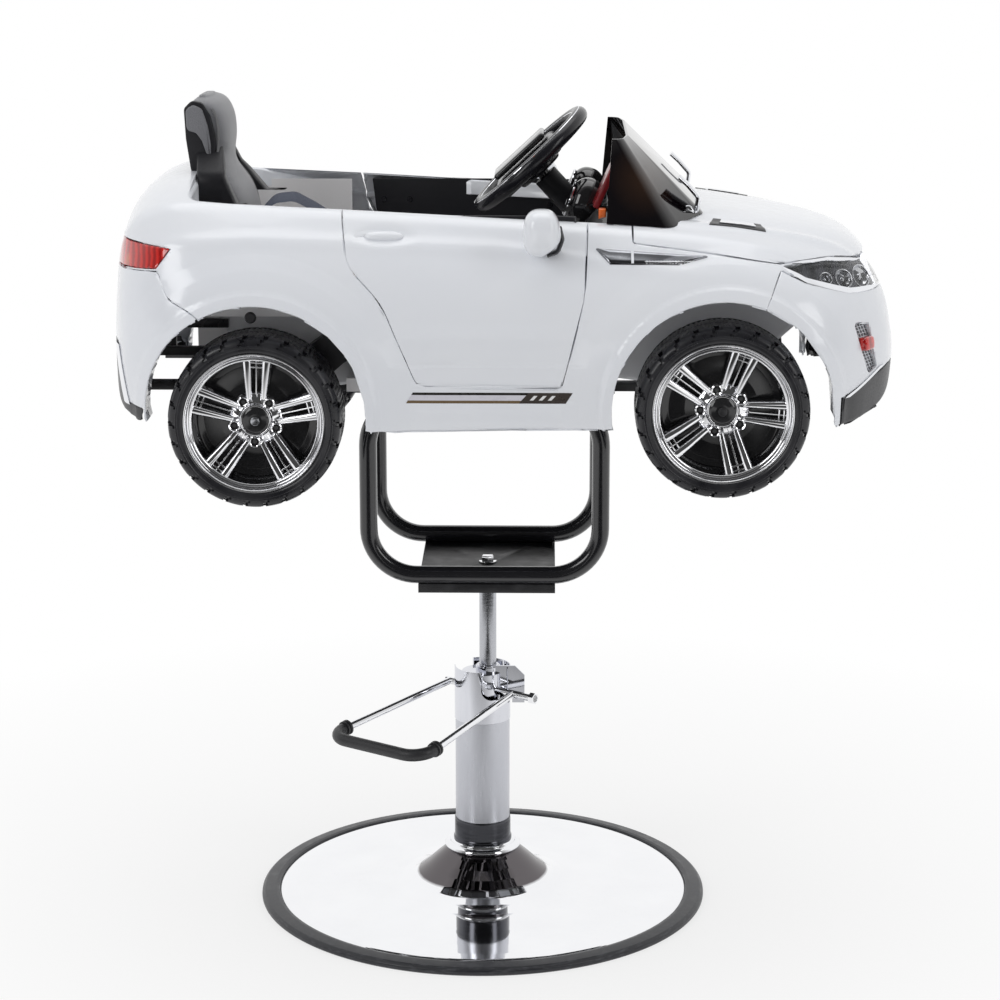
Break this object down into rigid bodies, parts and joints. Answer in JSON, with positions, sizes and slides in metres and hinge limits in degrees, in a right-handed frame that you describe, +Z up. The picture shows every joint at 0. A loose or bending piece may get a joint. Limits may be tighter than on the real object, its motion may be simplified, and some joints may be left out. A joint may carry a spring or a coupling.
{
  "type": "kids car barber chair",
  "caption": "Child's salon chair: an open ride-on car with opening doors, seat and steering wheel on a tube cradle, over a hydraulic pump column with foot lever and round base.",
  "frame": {"origin": "on the floor at the centre of the round base", "axes": "+X towards the car's nose at rest, +Z up, -Y is the car's right side"},
  "size_m": [1.071, 0.66, 1.192],
  "materials": {
    "chrome": "polished",
    "brushed": "brushed",
    "steel_plate": "satin",
    "black_frame": "powder coat",
    "dark_ring": "gloss",
    "rubber": "matt",
    "tyre": "moulded",
    "rim": "chromed plastic",
    "white_body": "gloss",
    "grey_liner": "moulded",
    "black_trim": "moulded",
    "black_gloss": "gloss",
    "bright_trim": "chromed plastic",
    "lamp_clear": "clear lens",
    "lamp_red": "tinted lens",
    "pad": "leatherette",
    "webbing": "woven"
  },
  "bodies": {
    "pedestal": {"base_plate": "steel_plate", "base_pan": "chrome", "base_rim_ring": "rubber", "base_flange": "chrome", "pump_collar": "dark_ring", "sleeve_lower": "brushed", "sleeve_upper": "chrome", "pump_body": "brushed"},
    "lever": {"lever_rod": "chrome", "lever_grip": "rubber"},
    "ram": {"ram": "brushed", "swivel_bolt": "chrome"},
    "car": {"swivel_hub": "black_frame", "cradle_plate": "black_frame", "loop_right": "black_frame", "loop_left": "black_frame", "body_shell": "white_body", "cockpit_tub": "grey_liner", "bonnet": "white_body", "front_bumper": "white_body", "front_skid": "black_trim", "grille": "bright_trim", "rear_bumper": "white_body", "rear_diffuser": "black_trim", "fog_lamps": "bright_trim", "side_trims": "bright_trim", "bonnet_vents": "black_trim", "windscreen": "black_gloss", "screen_hinges": "bright_trim", "dashboard": "black_trim", "steering_column": "black_trim", "seat_shell": "black_trim", "seat_pad": "pad", "seat_cushion": "pad", "belt_strap": "webbing", "chassis_rails": "black_frame", "gearboxes": "black_trim", "rear_axle": "brushed", "headlamp_right": "lamp_clear", "headlamp_left": "lamp_clear", "tail_lamp_right": "lamp_red", "tail_lamp_left": "lamp_red"},
    "steering": {"steering_wheel": "black_trim"},
    "horn": {"horn_pad": "black_gloss"},
    "door_right": {"door_right": "white_body", "door_card_right": "black_trim", "mirror_right": "white_body"},
    "door_left": {"door_left": "white_body", "door_card_left": "black_trim", "mirror_left": "white_body"},
    "knuckle_right": {"knuckle_right": "black_trim"},
    "knuckle_left": {"knuckle_left": "black_trim"},
    "wheel_rear_right": {"tyre_rear_right": "tyre", "rim_rear_right": "rim"},
    "wheel_rear_left": {"tyre_rear_left": "tyre", "rim_rear_left": "rim"},
    "wheel_front_right": {"tyre_front_right": "tyre", "rim_front_right": "rim"},
    "wheel_front_left": {"tyre_front_left": "tyre", "rim_front_left": "rim"}
  },
  "joints": [
    {"name": "ram_lift", "type": "slide", "parent": "pedestal", "child": "ram", "axis": [0, 0, 1], "range_m": [-0.12, 0.03]},
    {"name": "chair_swivel", "type": "hinge", "parent": "ram", "child": "car", "pos_m": [0.008, 0, 0.49], "axis": [0, 0, 1], "continuous": true},
    {"name": "lever_press", "type": "hinge", "parent": "pedestal", "child": "lever", "pos_m": [-0.00229, -0.00328, 0.318], "axis": [0.8192, -0.5736, 0], "range_deg": [0, 18], "stiffness_Nm_per_rad": 12, "springref_deg": -20.05},
    {"name": "steering_turn", "type": "hinge", "parent": "car", "child": "steering", "pos_m": [0.069, 0, 1.095], "axis": [-0.6794, 0, 0.7337], "range_deg": [-60, 60]},
    {"name": "horn_press", "type": "slide", "parent": "steering", "child": "horn", "axis": [0.6794, 0, -0.7337], "range_m": [0, 0.003], "stiffness_N_per_m": 300, "springref_m": -0.002},
    {"name": "door_right_swing", "type": "hinge", "parent": "car", "child": "door_right", "pos_m": [0.146, -0.28, 0.93], "axis": [0, 0, 1], "range_deg": [0, 55]},
    {"name": "door_left_swing", "type": "hinge", "parent": "car", "child": "door_left", "pos_m": [0.146, 0.28, 0.93], "axis": [0, 0, -1], "range_deg": [0, 55]},
    {"name": "knuckle_right_steer", "type": "hinge", "parent": "car", "child": "knuckle_right", "pos_m": [0.329, -0.168, 0.789], "axis": [0, 0, 1], "range_deg": [-15, 15]},
    {"name": "knuckle_left_steer", "type": "hinge", "parent": "car", "child": "knuckle_left", "pos_m": [0.329, 0.168, 0.789], "axis": [0, 0, 1], "range_deg": [-15, 15]},
    {"name": "wheel_rear_right_spin", "type": "hinge", "parent": "car", "child": "wheel_rear_right", "pos_m": [-0.299, -0.24, 0.774], "axis": [0, 1, 0], "continuous": true},
    {"name": "wheel_rear_left_spin", "type": "hinge", "parent": "car", "child": "wheel_rear_left", "pos_m": [-0.299, 0.24, 0.774], "axis": [0, 1, 0], "continuous": true},
    {"name": "wheel_front_right_spin", "type": "hinge", "parent": "knuckle_right", "child": "wheel_front_right", "pos_m": [0.329, -0.24, 0.789], "axis": [0, 1, 0], "continuous": true},
    {"name": "wheel_front_left_spin", "type": "hinge", "parent": "knuckle_left", "child": "wheel_front_left", "pos_m": [0.329, 0.24, 0.789], "axis": [0, 1, 0], "continuous": true}
  ],
  "couplings": [
    {"joint": "knuckle_right_steer", "follows": "steering_turn", "ratio": 0.25},
    {"joint": "knuckle_left_steer", "follows": "steering_turn", "ratio": 0.25}
  ]
}
